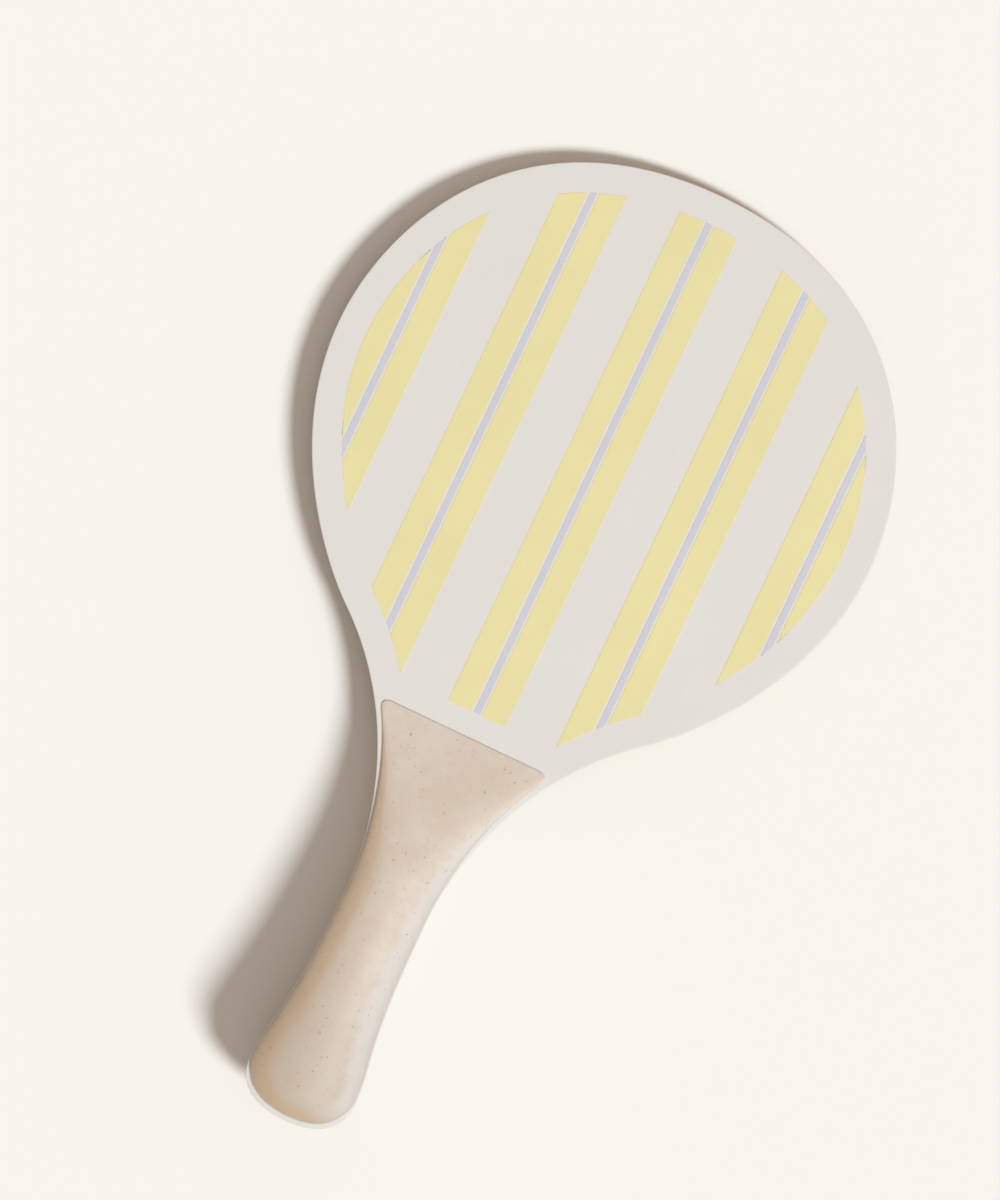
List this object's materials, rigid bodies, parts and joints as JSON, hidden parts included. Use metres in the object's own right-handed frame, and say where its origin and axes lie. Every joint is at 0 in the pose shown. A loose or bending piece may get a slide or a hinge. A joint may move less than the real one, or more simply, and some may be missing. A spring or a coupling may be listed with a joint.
{
  "type": "frescobol racket",
  "caption": "Round-headed plywood beach racket with a striped printed face, a bare reverse, and a moulded grip half on each side of its tang.",
  "frame": {"origin": "middle of the racket's bounding box: half its length, half its width and half its thickness over the grips", "axes": "+Y from the butt to the top of the head, +Z out of the printed face, +X to the right seen from that side"},
  "size_m": [0.218, 0.38, 0.0282],
  "materials": {
    "birch_face": "sanded bare birch veneer with faint grain",
    "birch_cross": "end grain of the crossed plies, sanded",
    "ground_paint": "off-white matt paint",
    "yellow_ink": "pale yellow matt screen ink",
    "lavender_ink": "pale lavender matt screen ink",
    "flecked_composite": "satin moulded beige composite with fine brown flecks"
  },
  "bodies": {
    "root": {"rear_face_veneer": "birch_face", "rear_cross_ply": "birch_cross", "core_ply": "birch_face", "front_cross_ply": "birch_cross", "front_face_veneer": "birch_face", "front_ground_coat": "ground_paint", "stripe_1_yellow_left": "yellow_ink", "stripe_1_lavender": "lavender_ink", "stripe_1_yellow_right": "yellow_ink", "stripe_2_yellow_left": "yellow_ink", "stripe_2_lavender": "lavender_ink", "stripe_2_yellow_right": "yellow_ink", "stripe_3_yellow_left": "yellow_ink", "stripe_3_lavender": "lavender_ink", "stripe_3_yellow_right": "yellow_ink", "stripe_4_yellow_left": "yellow_ink", "stripe_4_lavender": "lavender_ink", "stripe_4_yellow_right": "yellow_ink", "stripe_5_yellow_left": "yellow_ink", "stripe_5_lavender": "lavender_ink", "stripe_5_yellow_right": "yellow_ink", "front_grip_shell": "flecked_composite", "rear_grip_shell": "flecked_composite"}
  },
  "joints": []
}
